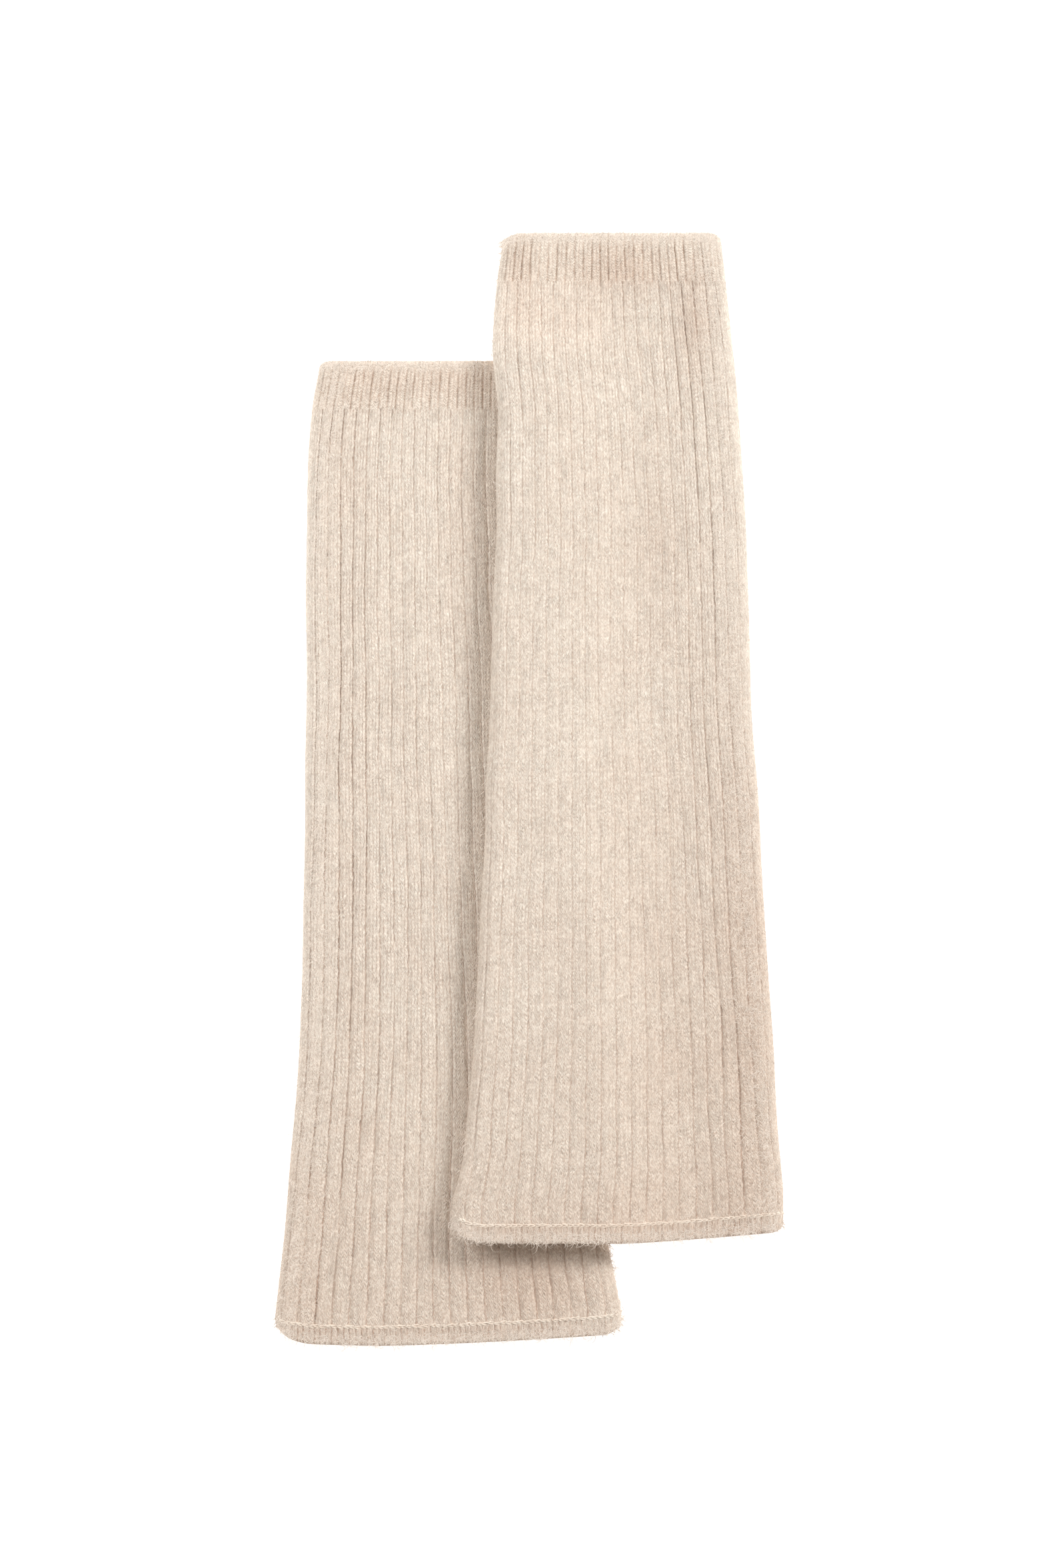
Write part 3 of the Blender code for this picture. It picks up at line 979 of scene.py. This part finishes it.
def knitMaterial(name, look):
    # V-shaped stitches in columns, with a groove between one rib and the next.
    material, tree, shader = newWool(name)
    where = objectPlace(tree)
    wale, course, streak = stitchPlace(tree, where)
    off = maths(tree, "PINGPONG", wale, 0.5)
    slanted = wave(tree, maths(tree, "MULTIPLY_ADD", off, -2.0, course))
    legs = maths(tree, "MULTIPLY_ADD", slanted, patches(tree, where, *stitching["legs"]), 0.5)
    line = times(tree, ramp(tree, off, *stitching["lineEdge"]), patches(tree, streak, *stitching["lines"]))
    line = times(tree, line, shadeOf(tree, "lines"))
    groove = ribGroove(tree, look, wale, course, streak)
    hair = maths(tree, "MAXIMUM", *(hairLines(tree, where, scale) for scale in stitching["hairs"]))
    cell = combine(tree, wale, times(tree, course, stitching["cellCourse"]))
    parts = (legs, line, groove, hair)
    plug(tree, shader.inputs["Base Color"], knitColor(tree, look, where, cell, parts))
    scale, detail, depth = wool["fuzz"]
    fuzz = addNode(tree, "ShaderNodeBump", Height=noise(tree, where, scale, detail), Distance=depth,
                   Strength=1.0)
    bump = addNode(tree, "ShaderNodeBump", Height=knitHeight(tree, parts), Distance=stitching["depth"],
                   Strength=1.0, Normal=fuzz.outputs[0])
    plug(tree, shader.inputs["Normal"], bump.outputs[0])
    return material


# Multiplies in the darker colour by the tone: darker wool, darker cuff and hem, and painted shade.
def toned(tree, color):
    return mixColor(tree, shadeOf(tree, "tone"), color, wool["darker"], "MULTIPLY")


def plainWool(name, deepen):
    material, tree, shader = newWool(name)
    where = objectPlace(tree)
    # Painted shade: the groove value times deepen draws the colour towards the deep one.
    color = mixColor(tree, times(tree, shadeOf(tree, "groove"), deepen), heather(tree, where), wool["deep"])
    plug(tree, shader.inputs["Base Color"], toned(tree, color))
    coarse, fine, depth = wool["yarnBumps"]
    height = maths(tree, "ADD", noise(tree, where, *coarse), noise(tree, where, *fine))
    bump = addNode(tree, "ShaderNodeBump", Height=height, Distance=depth, Strength=1.0)
    plug(tree, shader.inputs["Normal"], bump.outputs[0])
    return material


def fibreMaterial():
    material, tree, shader = newWool("looseFibre")
    shares = noise(tree, objectPlace(tree), *halo["colorNoise"])
    plug(tree, shader.inputs["Base Color"], mixColor(tree, shares, *halo["colors"]))
    return material


measureGloves()
fabric["fold"] = foldTable()
materials = {
    "body": knitMaterial("bodyRibWool", bodyStitches),
    "cuff": knitMaterial("cuffRibWool", cuffStitches),
    "hem": knitMaterial("hemWool", hemStitches),
    # The linking yarn is a little darker: painted shade that keeps its raised loops from looking brighter
    # than the fabric round them.
    "yarn": plainWool("linkingYarn", 0.06),
    "fibre": fibreMaterial(),
}


def makeGlove(side):
    glove = gloves[side]
    body = makeBody(glove, materials["body"])
    cuff = makeCuff(glove, materials["cuff"])
    hem = makeHem(glove, materials["hem"])
    chain = makeHemChain(glove, materials["yarn"])
    seam = makeSideSeam(glove, materials["yarn"])
    fluff = makeHalo(glove, materials["fibre"], int(glove["seed"] * 10))
    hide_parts(f"{side}_body_panel")
    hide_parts(f"{side}_wrist_cuff")
    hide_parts(f"{side}_elbow_hem")
    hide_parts(f"{side}_hem_chain")
    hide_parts(f"{side}_side_seam")
    declareSheets(glove)
    print(side, "glove made")


def roundAt(glove, along):
    width = float(curveAt(glove["rightEdge"], along) - curveAt(glove["leftEdge"], along))
    return 2.0 * (width - 2.0 * fabric["foldReach"] + fabric["fold"][1][-1])


def declareSheets(glove):
    # Works out the distance round the panel at nine places and round the cuff's end, and keeps none of it.
    # The panel is cut wider at the elbow; the cuff is nearly straight.
    end = glove["length"] - fabric["hemWidth"]
    places = np.linspace(glove["cuffEnd"], end, 9)
    rounds = [roundAt(glove, along) for along in places]
    roundAt(glove, glove["cuffEnd"])


makeGlove("left")
makeGlove("right")

# A white table, soft lights from above right and above left, and a bright, even room.
studio = {
    "tableSize": 4.0,
    "tableColor": (0.93, 0.93, 0.93),
    "tableGlow": 0.75,
    "lamps": (                 # (name, place, size, watts, colour)
        ("keyLight", (2.2, 1.5, 1.8), 1.1, 80.5, (0.975, 0.99, 1.0)),
        ("fillLight", (-0.75, 0.45, 0.9), 0.8, 8.9, (0.98, 0.99, 1.0)),
    ),
    "roomStrength": 0.425,
    "roomColor": (1.0, 0.935, 0.868),
    "cameraHeight": 6.0,
    "cameraReach": 20.0,
    "frameHeight": 0.591,      # how much of the table the picture takes in, top to bottom
    "aim": (-0.0026, 0.0020),
}


def makeTable():
    half = 0.5 * studio["tableSize"]
    mesh = bpy.data.meshes.new("table")
    corners = [(-half, -half, 0.0), (half, -half, 0.0), (half, half, 0.0), (-half, half, 0.0)]
    mesh.from_pydata(corners, [], [(0, 1, 2, 3)])
    table = bpy.data.objects.new("table", mesh)
    bpy.context.scene.collection.objects.link(table)
    material = bpy.data.materials.new("whiteTable")
    material.use_nodes = True
    shader = material.node_tree.nodes["Principled BSDF"]
    shader.inputs["Base Color"].default_value = (*studio["tableColor"], 1.0)
    shader.inputs["Roughness"].default_value = 1.0
    shader.inputs["Specular IOR Level"].default_value = 0.0
    shader.inputs["Emission Color"].default_value = (1.0, 1.0, 1.0, 1.0)
    shader.inputs["Emission Strength"].default_value = studio["tableGlow"]
    mesh.materials.append(material)


def makeLights():
    for name, where, size, watts, color in studio["lamps"]:
        lamp = bpy.data.lights.new(name, "AREA")
        lamp.shape = "DISK"
        lamp.size = size
        lamp.energy = watts
        lamp.color = color
        light = bpy.data.objects.new(name, lamp)
        light.location = where
        light.rotation_euler = (-light.location).to_track_quat("-Z", "Y").to_euler()
        bpy.context.scene.collection.objects.link(light)
    world = bpy.data.worlds.new("room")
    world.use_nodes = True
    sky = world.node_tree.nodes["Background"]
    sky.inputs["Color"].default_value = (*studio["roomColor"], 1.0)
    sky.inputs["Strength"].default_value = studio["roomStrength"]
    bpy.context.scene.world = world


def makeCamera():
    view = bpy.data.cameras.new("camera")
    camera = bpy.data.objects.new("camera", view)
    camera.location = (*studio["aim"], studio["cameraHeight"])
    view.sensor_fit = "VERTICAL"
    distance = studio["cameraHeight"] - lying["overLeft"]
    view.angle = 2.0 * math.atan(0.5 * studio["frameHeight"] / distance)
    view.clip_end = studio["cameraReach"]
    bpy.context.scene.collection.objects.link(camera)
    bpy.context.scene.camera = camera


makeTable()
makeLights()
makeCamera()
bpy.context.scene.view_settings.view_transform = "Standard"
print("studio made")
